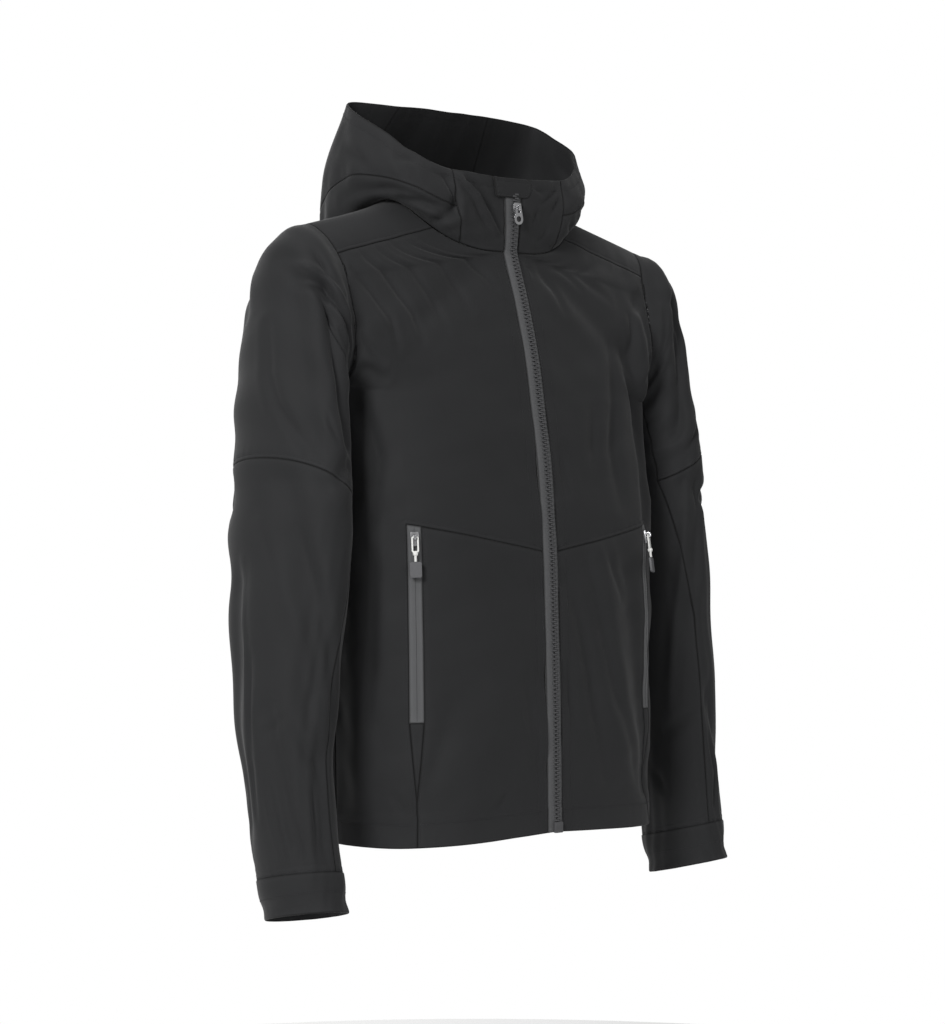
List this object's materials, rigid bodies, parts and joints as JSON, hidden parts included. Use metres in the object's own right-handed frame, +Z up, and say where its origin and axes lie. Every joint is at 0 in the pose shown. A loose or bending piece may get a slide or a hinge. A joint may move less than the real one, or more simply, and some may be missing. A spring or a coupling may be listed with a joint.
{
  "type": "softshell jacket",
  "caption": "Hooded softshell jacket, filled out as worn with its front zip closed and hood down, open at neck, hem and cuffs.",
  "frame": {"origin": "middle of the neck at the height of the shoulder line, where the wearer's shoulders hold the jacket", "axes": "+Z up, the front faces -Y, +X to the wearer's left"},
  "size_m": [0.6053, 0.2818, 0.8328],
  "materials": {
    "softshell": "matt fine stretch weave",
    "zip_tape": "matt knitted tape",
    "zip_teeth": "satin",
    "zip_metal": "polished",
    "slider_dark": "dark polished",
    "pull_cord": "braided cord",
    "pull_tab": "matt moulded"
  },
  "bodies": {
    "garment": {"back_panel": "softshell", "chest_panel_right": "softshell", "chest_panel_left": "softshell", "lower_front_right": "softshell", "lower_front_left": "softshell", "shoulder_yoke_right": "softshell", "shoulder_yoke_left": "softshell", "collar_front_right": "softshell", "collar_front_left": "softshell", "hood_band_right": "softshell", "hood_band_left": "softshell", "hood_side_right": "softshell", "hood_side_left": "softshell", "hood_centre": "softshell", "upper_sleeve_right": "softshell", "upper_sleeve_left": "softshell", "lower_sleeve_right": "softshell", "lower_sleeve_left": "softshell", "under_sleeve_right": "softshell", "under_sleeve_left": "softshell", "cuff_right": "softshell", "cuff_left": "softshell", "pocket_wedge_right": "softshell", "pocket_wedge_left": "softshell", "chin_guard": "softshell", "zip_tape_right": "zip_tape", "zip_tape_left": "zip_tape", "pocket_zip_right": "zip_tape", "pocket_zip_left": "zip_tape", "zip_teeth": "zip_teeth", "zip_bottom_box": "zip_teeth", "zip_slider": "zip_metal", "pocket_slider_right": "slider_dark", "pocket_slider_left": "slider_dark"},
    "main_pull": {"zip_pull": "zip_metal"},
    "pocket_pull_right": {"pocket_loop_right": "pull_cord", "pocket_tab_right": "pull_tab"},
    "pocket_pull_left": {"pocket_loop_left": "pull_cord", "pocket_tab_left": "pull_tab"}
  },
  "joints": [
    {"name": "main_pull_hinge", "type": "hinge", "parent": "garment", "child": "main_pull", "pos_m": [0.00255, -0.05727, -0.00083], "axis": [-0.9999, 0.0102, 0.0125], "range_deg": [0, 120]},
    {"name": "right_pull_hinge", "type": "hinge", "parent": "garment", "child": "pocket_pull_right", "pos_m": [-0.15939, -0.08764, -0.33988], "axis": [-0.8392, 0.5431, -0.0294], "range_deg": [0, 110]},
    {"name": "left_pull_hinge", "type": "hinge", "parent": "garment", "child": "pocket_pull_left", "pos_m": [0.15947, -0.08701, -0.33942], "axis": [-0.8269, -0.5494, 0.1202], "range_deg": [0, 110]}
  ]
}
